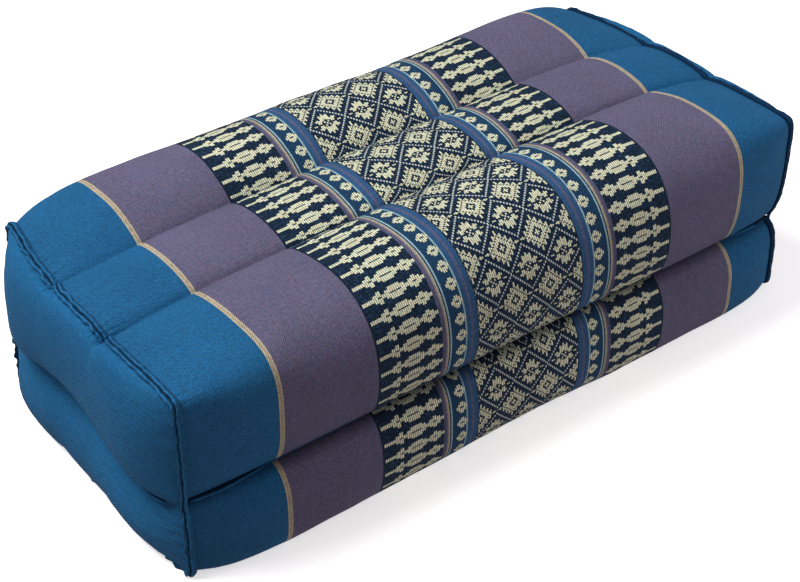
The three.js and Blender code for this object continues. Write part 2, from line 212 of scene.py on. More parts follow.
def middle_lobe(tier, t):
    low = channel_height(tier, t)
    crowned = lerp(MIDDLE_SEAM_SHARE, 1, settle(from_seam(t), RUNS["crown"]))
    rise = tier["middle_crown"] * crowned + fullness(tier, "middle", t)
    points = []
    for i in range(POLYLINE + 1):
        share = i / POLYLINE
        arch = 1 - (2 * share - 1) ** 2
        points.append((lerp(CHANNELS["front"], CHANNELS["back"], share), low + tier["side"] * rise * arch))
    return points


def section(tier, t):
    """A tier's whole section from the front crease, over its outer face, to the back crease."""
    outer = [1 - (1 - i / OUTER_COLUMNS) ** 1.3 for i in range(OUTER_COLUMNS + 1)]
    inner = [i / MIDDLE_COLUMNS for i in range(MIDDLE_COLUMNS + 1)]
    inner = [share - 0.09 * sin(2 * pi * share) for share in inner]
    front = [(-y, z) for y, z in resample(outer_lobe(tier, "front", t), outer)]
    back = resample(outer_lobe(tier, "back", t), outer)[::-1]
    middle = resample(middle_lobe(tier, t), inner)[1:-1]
    return [(y, max(z - tier["side"] * groove(t, y), 0.0)) for y, z in front + middle + back]


def groove(t, y):
    """How deep the stitching of a channel sinks at this place, in millimetres."""
    inside = settle(from_seam(t), GROOVE["fade"])
    share = GROOVE["right_share"] if t > 0 else 1.0
    return max(
        lerp(share * GROOVE[name][0], GROOVE[name][1], inside) * exp(-abs(y - line) / GROOVE["reach"])
        for name, line in CHANNELS.items()
    )


def near_channel(y, reach):
    """How near a point is to a channel line, from 0 to 1."""
    return max(exp(-abs(y - line) / reach) for line in CHANNELS.values())


def near_crease(z):
    return exp(-abs(z - CREASE["seam_height"]) / END["crease_run"])


def corner_out(t, y, z):
    """How far an end seam is pulled out or in towards its corners."""
    upper_front, crease_front, lower_front, upper_back = CORNERS_OUT[-1 if t < 0 else 1]
    across = min(1.0, abs(y) / CREASE["seam_half_width"])
    upper = z > CREASE["seam_height"]
    front = lerp(upper_front if upper else lower_front, crease_front, near_crease(z))
    back = upper_back * (1 - near_crease(z)) if upper else 0.0
    return across * across * (front if y < 0 else back)


def seam_reach(t, y, z, pinch=1.0):
    """How far the end seam lies from the middle; pinch is how much the channels draw it in."""
    across = min(1.0, abs(y) / CREASE["seam_half_width"])
    near = near_crease(z)
    in_crease = END["crease_inset"] * (1 - across * across) * near
    in_channel = pinch * END["channel_inset"] * near_channel(y, END["channel_reach"]) * (1 - near)
    bow = END["bow"] * (1 - across * across)
    return HALF_LENGTH + bow - in_crease - in_channel + corner_out(t, y, z)


def end_crease_height(y):
    """The height of an end's crease, which meets the corners at the height of the long creases."""
    share = y / CREASE["seam_half_width"]
    arch = (1 - share * share) * (END_CREASE["arch"] + END_CREASE["peak"] * cos(pi * share))
    return CREASE["seam_height"] + END_CREASE["climb"] * sin(pi * share) + arch


def end_swell(tier, end, y, z):
    """How far the filling pushes an end out beyond its seam."""
    shape = tier["end"]
    aside = min(1.0, abs(y) / tier["seam_half_width"])
    crease = end_crease_height(y)
    up = min(1.0, max(0.0, (z - crease) / (tier["seam_height"] - crease)))
    over_crease = abs(2 * up ** shape["low"] - 1)
    rounded = max(0.0, 1 - over_crease ** shape["power"]) ** (1 / shape["power"])
    dipped = 1 - shape["dip"] * (1 - aside * aside) ** 2
    filled = shape["swell"] * dipped * (1 + END["uneven"] * unevenness(z, y, tier["side"]))
    return (1 - aside ** shape["across"]) * rounded * (filled + max(0.0, -corner_out(end, y, z)))


def end_rows(tier, end, lift):
    """The end of a tier as rows of points, from its outer edge in to the crease."""
    outline = section(tier, end)
    crease_y = crease_at(end)[0]
    rows = []
    for r in range(END_ROWS + 1):
        share = (1 - cos(pi * r / END_ROWS)) / 2
        row = []
        for c, (edge_y, edge_z) in enumerate(outline):
            foot = lerp(-crease_y, crease_y, c / (len(outline) - 1))
            y, z = lerp(edge_y, foot, share), lerp(edge_z, end_crease_height(foot), share)
            pushed = end_swell(tier, end, y, z) if 0 < r < END_ROWS else 0
            row.append((end * (seam_reach(end, y, z, (1 - share) ** 6) + pushed + lift), y, z))
        rows.append(row)
    return rows


def skin_row(tier, t):
    return [(t * seam_reach(t, y, z), y, z) for y, z in section(tier, t)]


def place(point):
    """A point of the shape functions as one of the scene, in metres."""
    x, y, z = point
    return Vector(((x + CENTRING[0]) * MM, (y + CENTRING[1]) * MM, z * MM))


def taken_up(girth, line, share):
    """Cloth that a channel's stitching has drawn in between the line and a place beside it."""
    return share * (1 - exp(-abs(girth - line) / TAKEN_UP["reach"]))


def girths(tier):
    """The distance along the cloth of each column of the middle section."""
    line = section(tier, 0.0)
    lengths = [0.0]
    for a, b in zip(line, line[1:]):
        lengths.append(lengths[-1] + hypot(b[0] - a[0], b[1] - a[1]))
    front, back = lengths[OUTER_COLUMNS], lengths[OUTER_COLUMNS + MIDDLE_COLUMNS]
    cloth = []
    for length in lengths:
        drawn = 24.0 + length - front
        drawn += taken_up(length, front, TAKEN_UP["front"] / 2) * (1 if length > front else -1)
        drawn += taken_up(length, back, TAKEN_UP["back"] / 2) * (1 if length > back else -1)
        cloth.append(drawn + TAKEN_UP["front"] / 2 + TAKEN_UP["back"] / 2)
    return cloth


def ridged(x, y, seed):
    """Short folds: 0 on most of the cloth, rising to 1 along narrow crests."""
    wave = noise.noise(Vector((x, y, seed)))
    return max(0.0, 1 - abs(wave) * 4) - 0.35


def give(tier, x, y, z):
    """How far the sewn cloth stands off its smooth shape, in millimetres, along its normal."""
    inwards = max(0.0, HALF_LENGTH - abs(x))
    side = 1 if y > 0 else -1
    pitch = PUCKER["pitch"]
    over_channel = 0.0
    for line in CHANNELS.values():
        away = abs(y - line)
        fold = ridged(x / pitch, away / 14 + (7 if y > line else 0), line + tier["side"])
        over_channel += PUCKER["channel"] * fold * exp(-away / PUCKER["channel_reach"]) * min(1, away / 1.5)
    around = y / pitch if abs(z - CREASE["seam_height"]) > 40 else z / pitch
    at_seam = PUCKER["seam"] * ridged(around, inwards / 20, 3.0 * side + tier["side"])
    at_seam *= exp(-inwards / PUCKER["seam_reach"]) * min(1, inwards / 2)
    broad = Vector((x, y, z)) / DIMPLES["pitch"]
    return over_channel + at_seam + DIMPLES["depth"] * noise.noise(broad) + 0.12 * noise.noise(broad * 4)


def grid_from(rows, name, uvs):
    """A bmesh grid laid over rows of points, with the cloth distances of its corners."""
    bm = bmesh.new()
    bmesh.ops.create_grid(bm, x_segments=len(rows) - 1, y_segments=len(rows[0]) - 1, size=0.5)
    layer = bm.loops.layers.uv.new("cloth")
    spots = {}
    for vert in bm.verts:
        r = round((vert.co.x + 0.5) * (len(rows) - 1))
        c = round((vert.co.y + 0.5) * (len(rows[0]) - 1))
        spots[vert] = (r, c)
    for vert, (r, c) in spots.items():
        vert.co = place(rows[r][c])
    for face in bm.faces:
        for loop in face.loops:
            loop[layer].uv = uvs(*spots[loop.vert])
    return bm, spots


def finish_mesh(bm, name, levels):
    """Closes the bmesh into an object that is subdivided, smooth and faces outwards."""
    bmesh.ops.recalc_face_normals(bm, faces=bm.faces)
    mesh = bpy.data.meshes.new(name)
    bm.to_mesh(mesh)
    bm.free()
    piece = bpy.data.objects.new(name, mesh)
    bpy.context.scene.collection.objects.link(piece)
    for face in mesh.polygons:
        face.use_smooth = True
    if levels:
        rounding = piece.modifiers.new("Rounding", "SUBSURF")
        rounding.levels = levels
        rounding.render_levels = levels
    return piece


def hand_over(piece, node, material):
    """Rides a piece on the cushion's body in place of its CAD node."""
    piece.data.materials.clear()
    piece.data.materials.append(material)
    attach(piece, "root")
    if node:
        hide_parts(node)


# ---------------------------------------------------------------- materials


class Value:
    """A shader socket that adds Math nodes when it is used in an expression."""

    def __init__(self, cloth, socket):
        self.cloth = cloth
        self.socket = socket

    def math(self, operation, *others):
        node = self.cloth.add("ShaderNodeMath", {"operation": operation}, {i: v for i, v in enumerate((self,) + others)})
        return Value(self.cloth, node.outputs[0])

    def __add__(self, other):
        return self.math("ADD", other)

    def __sub__(self, other):
        return self.math("SUBTRACT", other)

    def __mul__(self, other):
        return self.math("MULTIPLY", other)

    def __truediv__(self, other):
        return self.math("DIVIDE", other)

    def __rsub__(self, other):
        return self.cloth.number(other).math("SUBTRACT", self)

    def __neg__(self):
        return self * -1

    def __abs__(self):
        return self.math("ABSOLUTE")

    def __lt__(self, other):
        return self.math("LESS_THAN", other)

    def __gt__(self, other):
        return self.math("GREATER_THAN", other)

    def __and__(self, other):
        return self.math("MULTIPLY", other)

    def __or__(self, other):
        return self.math("MAXIMUM", other)

    __radd__ = __add__
    __rmul__ = __mul__

    def floor(self):
        return self.math("FLOOR")

    def wave(self, period):
        """A sine along the value, from 0 to 1, with the given period."""
        return (self * (2 * pi / period)).math("SINE") * 0.5 + 0.5

    def from_nearest(self, period):
        """Distance from the nearest multiple of the period, with its sign."""
        return self - (self / period + 0.5).floor() * period

    def looked_up(self, table, top):
        """The table's entry at this whole number; entries run from 0 to top."""
        stops = []
        for i, entry in enumerate(table):
            if not stops or stops[-1][1] != entry / top:
                stops.append((i / len(table), entry / top))
        ramp = self.cloth.ramp((self + 0.5) / len(table), [(p, (v, v, v)) for p, v in stops], "CONSTANT")
        return Value(self.cloth, ramp.outputs["Color"]) * top


class Cloth:
    """A cloth material under construction."""

    def __init__(self, name, roughness):
        self.material = bpy.data.materials.new(name)
        self.material.use_nodes = True
        self.tree = self.material.node_tree
        self.shader = self.tree.nodes["Principled BSDF"]
        self.shader.inputs["Roughness"].default_value = roughness
        self.shader.inputs["Specular IOR Level"].default_value = 0.1

    def add(self, kind, settings, sockets):
        """Adds a node of a type with its settings, and values or links for its sockets."""
        node = self.tree.nodes.new(kind)
        for name, setting in settings.items():
            setattr(node, name, setting)
        for name, value in sockets.items():
            socket = node.inputs[name]
            if isinstance(value, Value):
                value = value.socket
            if isinstance(value, bpy.types.NodeSocket):
                self.tree.links.new(value, socket)
            else:
                socket.default_value = value
        return node

    def number(self, value):
        node = self.tree.nodes.new("ShaderNodeValue")
        node.outputs[0].default_value = value
        return Value(self, node.outputs[0])

    def ramp(self, factor, stops, interpolation="LINEAR"):
        node = self.add("ShaderNodeValToRGB", {}, {"Fac": factor})
        node.color_ramp.interpolation = interpolation
        elements = node.color_ramp.elements
        while len(elements) > 1:
            elements.remove(elements[-1])
        elements[0].position = stops[0][0]
        elements[0].color = (*stops[0][1], 1)
        for position, colour in stops[1:]:
            elements.new(position).color = (*colour, 1)
        return node

    def mix(self, factor, low, high, blend="MIX"):
        """One colour over another; a colour is a triple or a socket."""
        def full(colour):
            return (*colour, 1) if isinstance(colour, (tuple, list)) else colour
        node = self.add("ShaderNodeMix", {"data_type": "RGBA", "blend_type": blend},
                        {0: factor, 6: full(low), 7: full(high)})
        return node.outputs[2]

    def noise(self, vector, scale, detail=2.0):
        node = self.add("ShaderNodeTexNoise", {}, {"Vector": vector, "Scale": scale, "Detail": detail})
        return Value(self, node.outputs["Fac"])

    def cloth_distances(self):
        """The piece's own distances along and across the cloth, in millimetres."""
        uv = self.add("ShaderNodeUVMap", {"uv_map": "cloth"}, {}).outputs["UV"]
        split = self.add("ShaderNodeSeparateXYZ", {}, {"Vector": uv})
        return Value(self, split.outputs[0]) * 100, Value(self, split.outputs[1]) * 100

    def places(self):
        return self.add("ShaderNodeTexCoord", {}, {}).outputs["Object"]

    def finish(self, colour, height, depth, roughness=None):
        """Colour, and a height in units of depth metres that is felt as bump."""
        bump = self.add("ShaderNodeBump", {}, {"Height": height, "Strength": 1.0, "Distance": depth})
        self.tree.links.new(colour, self.shader.inputs["Base Color"])
        self.tree.links.new(bump.outputs["Normal"], self.shader.inputs["Normal"])
        if roughness is not None:
            self.tree.links.new(roughness.socket, self.shader.inputs["Roughness"])
        return self.material


def blend(first, second, share):
    return tuple(lerp(a, b, share) for a, b in zip(first, second))


def plain_weave(cloth, along, across, pitch):
    """The thread relief of a plain weave, from 0 to 1."""
    warp, weft = along.wave(pitch * 2), across.wave(pitch * 2)
    return (warp * (1 - weft)) | (weft * (1 - warp))


def worn(cloth, colour, amount):
    """A colour with the slubs of its yarn and the slow fading of handled cloth."""
    slub = cloth.noise(cloth.places(), 780.0, 3.0)
    cloudy = cloth.noise(cloth.places(), 30.0, 3.0)
    shade = (slub - 0.5) * amount + (cloudy - 0.5) * 0.35 + 1
    grey = cloth.add("ShaderNodeCombineColor", {}, {0: shade, 1: shade, 2: shade}).outputs[0]
    tint = cloth.mix(cloth.noise(cloth.places(), 950.0, 1.0), (1.35, 0.92, 0.80), (0.65, 1.08, 1.20))
    return cloth.mix(1.0, cloth.mix(1.0, colour, grey, "MULTIPLY"), tint, "MULTIPLY")


def patterned_cloth(colours):
    """The banded cloth of the tiers, with its woven rows, flowers and lattice."""
    cloth = Cloth("banded_cloth", 0.9)
    along, across = cloth.cloth_distances()
    out = abs(along)
    cream, navy = tuple(colours.cream), tuple(colours.navy)
    blue, purple = tuple(colours.blue), tuple(colours.purple)
    beige, aqua, teal = tuple(colours.beige), tuple(colours.aqua), tuple(colours.teal)
    stripe = tuple(colours.stripe)
    bands = (
        (0.0, navy), (LATTICE_HALF, stripe), (32.6, blend(stripe, purple, 0.65)), (33.8, stripe),
        (36.0, aqua), (36.8, teal), (44.7, aqua), (45.5, teal), (46.8, beige),
        (47.5, blend(beige, purple, 0.7)), (47.8, beige), (48.4, blend(purple, teal, 0.3)), (50.3, navy),
        (83.7, purple), (130.9, beige), (131.6, blend(beige, purple, 0.3)), (132.1, beige), (133.0, blue),
    )
    ground = cloth.ramp(out / 200, [(p / 200, c) for p, c in bands], "CONSTANT").outputs["Color"]

    weave = plain_weave(cloth, along, across, 0.55)
    twill = (along + across * 0.8).wave(1.1)
    floats = across.wave(0.9)
    in_lattice = out < LATTICE_HALF
    in_rows = (out > 50.3) & (out < 83.7)

    # Woven rows and flowers: ribs that run across the row.
    heights, slits = [], []
    for count, height, slit in MOTIF_COUNTS:
        heights += [height] * count
        slits += [slit] * count
    from_start = (MOTIF_START - out) / RIB
    rib = from_start.floor()
    inside = (from_start > 0) & (from_start < len(heights))
    from_row = abs(across.from_nearest(ROW_PITCH))
    rows = (from_row < rib.looked_up(heights, 3.0)) & (from_row > rib.looked_up(slits, 3.0)) & inside

    # The lattice: stars and squares in turn, between dotted lines.
    from_star = along - STAR_CENTRE
    rib_width = STAR_PITCH / LATTICE_RIBS
    star_x = (abs(from_star.from_nearest(STAR_PITCH)) / rib_width + 0.5).floor()
    star_y = abs(across.from_nearest(LATTICE_PITCH))
    star = (star_y < star_x.looked_up(STAR_OUTER, 7.0)) & (star_y > star_x.looked_up(STAR_INNER, 7.0) - 0.01)
    star = star | ((abs(star_y - star_x * 0.98) < 0.42) & (star_x < 2.5))
    dot_y = (10.2 - star_x) * 1.04
    dots = (abs(star_y - dot_y) < 0.50) & (abs((from_star / rib_width).from_nearest(1.0)) < 0.40)
    square_x = (abs((from_star - STAR_PITCH / 2).from_nearest(STAR_PITCH)) / rib_width + 0.5).floor()
    square_y = abs((across - LATTICE_PITCH / 2).from_nearest(LATTICE_PITCH))
    ring = square_x + square_y
    odd = abs((square_x * 0.5).from_nearest(1.0)) > 0.25
    square = (
        (ring < 1.4)
        | ((ring > 3.0) & (ring < 5.6))
        | ((ring > 6.25) & (ring < 7.2))
        | ((ring > 6.25) & (ring < 8.7) & (1 - odd))
        | ((square_x > 8.5) & (square_x < 9.5) & (square_y < 0.36))
    )
    lattice = (star | dots | square) & (out < LATTICE_HALF - 0.3)

    threads = rows | lattice
    from_rib = abs(cloth.mix_value(in_lattice, from_start, from_star / rib_width + 0.5).from_nearest(1.0))
    rounded = (from_rib * 2.4).math("MINIMUM", 1.0)
    fibres = cloth.noise(cloth.places(), 2600.0, 1.0)
    yarn = cloth.mix(dots & in_lattice, cream, tuple(colours.pale))
    cream_shade = cloth.mix(rounded, tuple(0.22 * c for c in cream), yarn)
    dark = cloth.mix(1.0, ground, (0.45, 0.45, 0.48), "MULTIPLY")
    light = cloth.mix(1.0, ground, (1.38, 1.37, 1.35), "MULTIPLY")
    plain = cloth.mix(weave, dark, light)
    dim = cloth.mix(cloth.mix_value(in_lattice, twill, floats), tuple(0.6 * c for c in navy), navy)
    glints = ((cloth.noise(cloth.places(), 1150.0, 1.0) - 0.52) * 5).math("MAXIMUM", 0.0).math("MINIMUM", 1.0)
    motif_ground = cloth.mix(glints, dim, tuple(3.2 * c for c in navy))
    colour = cloth.mix(in_lattice | in_rows, plain, motif_ground)
    colour = cloth.mix(threads, colour, cream_shade)
    # Painted shade: the colour darkens towards the crease between the tiers, to about a sixth of itself at the crease
    # and back to full within 9 mm of cloth.
    tuck = cloth.add("ShaderNodeUVMap", {"uv_map": "tuck"}, {}).outputs["UV"]
    from_crease = Value(cloth, cloth.add("ShaderNodeSeparateXYZ", {}, {"Vector": tuck}).outputs[0]) * 100
    crease_shade = cloth.mix(1.0, colour, (0.16, 0.17, 0.22), "MULTIPLY")
    colour = cloth.mix((from_crease / 9).math("MINIMUM", 1.0), crease_shade, colour)
    colour = worn(cloth, colour, 1.0)
    relief = cloth.mix_value(in_lattice | in_rows, weave, cloth.mix_value(in_lattice, twill, floats)) * 0.45
    height = relief * (1 - threads) + threads * (rounded * 0.9 + fibres * 0.3 + 0.4)
    beside_seam = ((out - 156) / 18).math("MINIMUM", 1.0).math("MAXIMUM", 0.0)
    return cloth.finish(colour, height + puckers(cloth, across, along, 0.28) * beside_seam * 5, 0.00035)


def plain_cloth(name, colour, amount, pitch):
    """The plain blue cloth, with a fine diagonal weave and fine puckers beside its side seams."""
    cloth = Cloth(name, 0.9)
    along, across = cloth.cloth_distances()
    rising = (across + along * 0.8).wave(pitch)
    falling = (across - along * 0.8).wave(pitch)
    relief = rising * falling * 0.7 + plain_weave(cloth, along, across, pitch * 0.6) * 0.3
    shaded = cloth.mix(relief, tuple(0.7 * c for c in colour), tuple(1.6 * c for c in colour))
    beside_seam = ((abs(along) - 58) / 17).math("MINIMUM", 1.0).math("MAXIMUM", 0.0)
    low = ((42 - across) / 12).math("MINIMUM", 1.0).math("MAXIMUM", 0.2)
    folds = puckers(cloth, across, along, 0.30)
    return cloth.finish(worn(cloth, shaded, amount), relief + folds * beside_seam * low * 9, 0.0003)


def puckers(cloth, around, away, count):
    """Narrow folds that run straight out from a seam, count to the millimetre, from 0 to 1."""
    place = cloth.add("ShaderNodeCombineXYZ", {}, {0: around * count, 1: away * 0.045}).outputs[0]
    return cloth.noise(place, 1.0, 1.0)


def rolled_edge_cloth(colours):
    """The cloth of the standing edges: rims lighter in patches either side of a slit darkened with painted shade, and
    painted shade over the right end's edges.
    """
    made = bpy.data.materials.get("rolled_edge_cloth")
    if made:
        return made
    colour = tuple(colours.edge)
    cloth = Cloth("rolled_edge_cloth", 0.9)
    along, across = cloth.cloth_distances()
    from_slit = abs(across - SLIT)
    in_slit = 1 - (from_slit / 0.75).math("MINIMUM", 1.0)
    on_rim = 1 - (abs(from_slit - SLIT / 2) / 0.9).math("MINIMUM", 1.0)
    frayed = cloth.noise(cloth.places(), 900.0, 2.0)
    weave = plain_weave(cloth, along, across, 0.5)
    shaded = cloth.mix(on_rim * frayed * 1.5, tuple(0.75 * c for c in colour), tuple(1.6 * c + 0.004 for c in colour))
    # Painted shade: the slit between the two rolls is drawn near black.
    shaded = cloth.mix(in_slit, shaded, tuple(0.06 * c for c in colour))
    # Painted shade: at the right end, beyond 160 mm, the edges are darkened to about a third.
    split = cloth.add("ShaderNodeSeparateXYZ", {}, {"Vector": cloth.places()})
    at_right_end = Value(cloth, split.outputs[0]) > 0.160
    shaded = cloth.mix(at_right_end, shaded, cloth.mix(1.0, shaded, (0.30, 0.30, 0.36), "MULTIPLY"))
    return cloth.finish(worn(cloth, shaded, 1.1), weave * 0.4 + frayed, 0.0004)


def mix_value(self, factor, low, high):
    node = self.add("ShaderNodeMix", {"data_type": "FLOAT"}, {0: factor, 2: low, 3: high})
    return Value(self, node.outputs[0])


Cloth.mix_value = mix_value


# ---------------------------------------------------------------- settings


def colour(name, description, value):
    return FloatVectorProperty(name=name, description=description, default=value, size=3,
                               min=0.0, max=1.0, subtype="COLOR")


class ClothColours(bpy.types.PropertyGroup):
    cream: colour("Cream", "Threads of the woven pattern", (0.86, 0.90, 0.65))
    pale: colour("Pale", "Dotted lines of the lattice", (0.66, 0.74, 0.74))
    navy: colour("Navy", "Ground of the pattern", (0.007, 0.019, 0.040))
    blue: colour("Blue", "Ends of the tiers", (0.015, 0.116, 0.262))
    purple: colour("Purple", "Wide bands", (0.125, 0.118, 0.196))
    stripe: colour("Stripe", "Stripe beside the lattice", (0.030, 0.098, 0.215))
    beige: colour("Beige", "Narrow stripes", (0.47, 0.41, 0.27))
    aqua: colour("Aqua", "Thin lines beside the flowers", (0.30, 0.48, 0.52))
    teal: colour("Teal", "Ground of the flowers", (0.012, 0.050, 0.110))
    panel: colour("Panel", "End panels", (0.013, 0.115, 0.262))
    edge: colour("Edge", "Seam edges", (0.012, 0.100, 0.230))


class CushionSizes(bpy.types.PropertyGroup):
    rounding: IntProperty(name="Rounding", description="Subdivision of the stuffed tiers", default=1, min=0, max=2)
    tier_fill: FloatProperty(name="Filling", description="How full the tiers are", default=0.85, min=0, max=1)


class StudioSettings(bpy.types.PropertyGroup):
    azimuth: FloatProperty(name="Azimuth", description="Camera's turn round the cushion",
                           default=radians(-37.67), subtype="ANGLE", unit="ROTATION")
    elevation: FloatProperty(name="Elevation", description="Camera's angle above the floor",
                             default=radians(36.69), subtype="ANGLE", unit="ROTATION")
    distance: FloatProperty(name="Distance", description="Camera's distance from the cushion",
                            default=0.87285, unit="LENGTH")
    lens: FloatProperty(name="Lens", description="Focal length on a 36 mm sensor, in millimetres", default=81.15)


# ---------------------------------------------------------------- pieces


def tier_piece(tier, name, levels):
    """A stuffed tier: its skin with both ends, closed underneath where it meets the other tier."""
    left = end_rows(tier, -1, 0)[::-1]
    right = end_rows(tier, 1, 0)
    skin = [skin_row(tier, lerp(-1, 1, s / (STATIONS - 1))) for s in range(1, STATIONS - 1)]
    rows = left + skin + right
    if tier["side"] > 0:
        rows = [stand_off(tier, row) for row in rows]
    spread = girths(tier)

    def uvs(r, c):
        return rows[r][c][0] / 100, spread[c] / 100

    bm, spots = grid_from(rows, name, uvs)
    last = len(rows[0]) - 1
    # The tuck layer holds each column's cloth distance from the nearer crease; the banded cloth darkens by it as
    # painted shade in the crease.
    tucks = bm.loops.layers.uv.new("tuck")
    for face in bm.faces:
        for loop in face.loops:
            c = spots[loop.vert][1]
            loop[tucks].uv = (min(spread[c] - spread[0], spread[-1] - spread[c]) / 100, 0)
    bm.normal_update()
    outwards = sum(face.normal.z * face.calc_area() for face in bm.faces) * tier["side"]
    if outwards < 0:
        bmesh.ops.reverse_faces(bm, faces=bm.faces)
        bm.normal_update()
    for vert, (r, c) in spots.items():
        x, y, z = rows[r][c]
        held = min(1.0, min(c, last - c) / 5, min(r, len(rows) - 1 - r) / 5)
        moved = vert.normal * (give(tier, x, y, z) * held * MM)
        vert.co += moved
        vert.co.z = max(vert.co.z, 0.0)
    creases = bm.edges.layers.float.new("crease_edge")
    lines = (OUTER_COLUMNS, OUTER_COLUMNS + MIDDLE_COLUMNS)
    for edge in bm.edges:
        columns = {spots[v][1] for v in edge.verts}
        stations = {spots[v][0] for v in edge.verts}
        if columns in ({lines[0]}, {lines[1]}) and len(left) - 1 < min(stations) < len(rows) - len(right):
            edge[creases] = 0.7
    bmesh.ops.remove_doubles(bm, verts=bm.verts, dist=0.00001)
    rim = [edge for edge in bm.edges if edge.is_boundary]
    for edge in rim:
        edge[creases] = 0.8
    under = bmesh.ops.holes_fill(bm, edges=rim, sides=0)["faces"]
    layer = bm.loops.layers.uv["cloth"]
    for face in under:
        for loop in face.loops:
            x, y, _ = loop.vert.co / MM
            loop[layer].uv = (x / 100, (spread[0] if y < 0 else spread[-1]) / 100)
    bmesh.ops.triangulate(bm, faces=under)
    return finish_mesh(bm, name, levels)


def stand_off(tier, row):
    """Raises a row of the upper tier near the crease, off the lower one."""
    low = row[0][2]
    return [
        (x, y, z + TIER_GAP * max(0.0, (tier["seam_height"] - z) / (tier["seam_height"] - low)))
        for x, y, z in row
    ]


def panel_piece(end, name):
    """An end panel: one sheet pushed out over each tier and tucked in at the crease."""
    lift = PANEL["gap"] + PANEL["thickness"]
    rows = end_rows(UPPER, end, lift) + end_rows(LOWER, end, lift)[::-1][1:]

    def uvs(r, c):
        return rows[r][c][1] / 100, rows[r][c][2] / 100

    bm, spots = grid_from(rows, name, uvs)
    bm.normal_update()
    if sum(face.normal.x * face.calc_area() for face in bm.faces) * end < 0:
        bmesh.ops.reverse_faces(bm, faces=bm.faces)
        bm.normal_update()
    for vert, (r, c) in spots.items():
        x, y, z = rows[r][c]
        from_edge = min(r, len(rows) - 1 - r) * 4.0
        pitch = PUCKER["pitch"]
        fold = ridged(y / pitch, z / 30, end * 4.0) * exp(-from_edge / 9)
        tuck = ridged(z / pitch, y / 30, end * 6.0) * exp(-(77 - abs(y)) / 10)
        broad = Vector((x, y, z)) / DIMPLES["pitch"]
        soft = 0.5 * noise.noise(broad) + 0.15 * noise.noise(broad * 4)
        held = min(1.0, min(r, len(rows) - 1 - r) / 3, min(c, len(rows[0]) - 1 - c) / 3)
        vert.co += vert.normal * ((PUCKER["seam"] * (fold + tuck) + soft) * held * MM)
    bmesh.ops.remove_doubles(bm, verts=bm.verts, dist=0.00001)
    area = sum(face.calc_area() for face in bm.faces)
    mesh = bpy.data.meshes.new(name)
    bm.to_mesh(mesh)
    bm.free()
    piece = bpy.data.objects.new(name, mesh)
    bpy.context.scene.collection.objects.link(piece)
    for face in mesh.polygons:
        face.use_smooth = True
    thick = piece.modifiers.new("Cloth thickness", "SOLIDIFY")
    thick.thickness = PANEL["thickness"] * MM
    thick.offset = -1
    return piece, area


def seam_ring(end):
    """The seam's corner all round an end, with the directions of the panel and of the wrap."""
    stops = []
    for tier, turned in ((UPPER, False), (LOWER, True)):
        lift = PANEL["gap"] + PANEL["thickness"]
        outline = section(tier, end)
        edge = [(end * (seam_reach(end, y, z) + lift), y, z) for y, z in outline]
        inner = end_rows(tier, end, lift)[3]
        wrap = skin_row(tier, end * lerp(-1, 1, (STATIONS - 3) / (STATIONS - 1)))
        ring = []
        for c in range(1, len(edge) - 1):
            corner = place(edge[c])
            to_panel = (place(inner[c]) - corner).normalized()
            to_wrap = (place(wrap[c]) - corner).normalized()
            ring.append((corner, to_panel, to_wrap))
        stops += ring[::-1] if turned else ring
    return stops


def halved(stops):
    """The ring with one more stop between each two."""
    finer = []
    for here, after in zip(stops, stops[1:] + stops[:1]):
        between = tuple((a + b) / 2 for a, b in zip(here, after))
        finer += [here, (between[0], between[1].normalized(), between[2].normalized())]
    return finer


def seam_piece(end, name):
    """Two rolled cloth edges side by side, in a ring that straddles the seam's corner."""
    stops = halved(seam_ring(end))
    stand = SEAM_STAND[end]
    profile = (  # sideways share of the width, height, in millimetres of a 4.2 by 2.5 edge
        (0.56, 0.8), (0.5, 1.4), (0.36, 1.9), (0.24, 2.0), (0.14, 1.7), (0.06, 0.9),
        (0.0, 0.5), (-0.06, 0.9), (-0.14, 1.7), (-0.24, 2.0), (-0.36, 1.8), (-0.5, 1.3), (-0.56, 0.7),
    )
    rows, length, last = [], 0.0, stops[0][0]
    for corner, to_panel, to_wrap in stops:
        length += (corner - last).length / MM
        last = corner
        out = -(to_panel + to_wrap).normalized()
        aside = (to_panel - to_wrap).normalized()
        y, z = corner.y / MM, corner.z / MM
        pinched = near_channel(y, 3.0) if z > 60 and end < 0 else 0.0
        side = min(CHANNELS.values(), key=lambda line: abs(y - line))
        jog = 1.4 * pinched * (1 if y > side else -1)
        sway = 0.5 * noise.noise(Vector((length * 0.11, end * 5.0, 0))) + jog
        row = [corner + to_panel * (SEAM_REACH["panel"] * MM)]
        for sideways, height in profile:
            roll = 2.0 if sideways > 0 else -2.0
            gather = noise.noise(Vector((length * 0.2, roll, end * 5.0)))
            fray = noise.noise(Vector((length * 0.6, roll + sideways, end * 9.0)))
            lifted = height * stand * (1 + 0.4 * gather + 0.85 * fray) * (1 - 0.45 * pinched)
            loose = min(1.0, max(0.0, height - 0.2))
            moved = sideways * SEAM_WIDTH[end] * (1 + 0.5 * fray * loose) + (sway + 0.8 * gather + 0.45 * fray) * loose
            row.append(corner + aside * (moved * MM) + out * (lifted * MM))
        row.append(corner + to_wrap * (SEAM_REACH["wrap"] * MM))
        row.append(corner - out * (SEAM_REACH["inside"] * MM))
        rows.append(row)
    bm = bmesh.new()
    bmesh.ops.create_grid(bm, x_segments=len(rows), y_segments=len(rows[0]), size=0.5)
    layer = bm.loops.layers.uv.new("cloth")
    spots = {}
    for vert in bm.verts:
        r = round((vert.co.x + 0.5) * len(rows))
        c = round((vert.co.y + 0.5) * len(rows[0]))
        spots[vert] = (r, c)
    for vert, (r, c) in spots.items():
        vert.co = rows[r % len(rows)][c % len(rows[0])]
        vert.co.z = max(vert.co.z, 0.0)
    for face in bm.faces:
        for loop in face.loops:
            r, c = spots[loop.vert]
            loop[layer].uv = (r * 0.013, c * 0.005)
    bmesh.ops.remove_doubles(bm, verts=bm.verts, dist=0.000005)
    return finish_mesh(bm, name, 1)


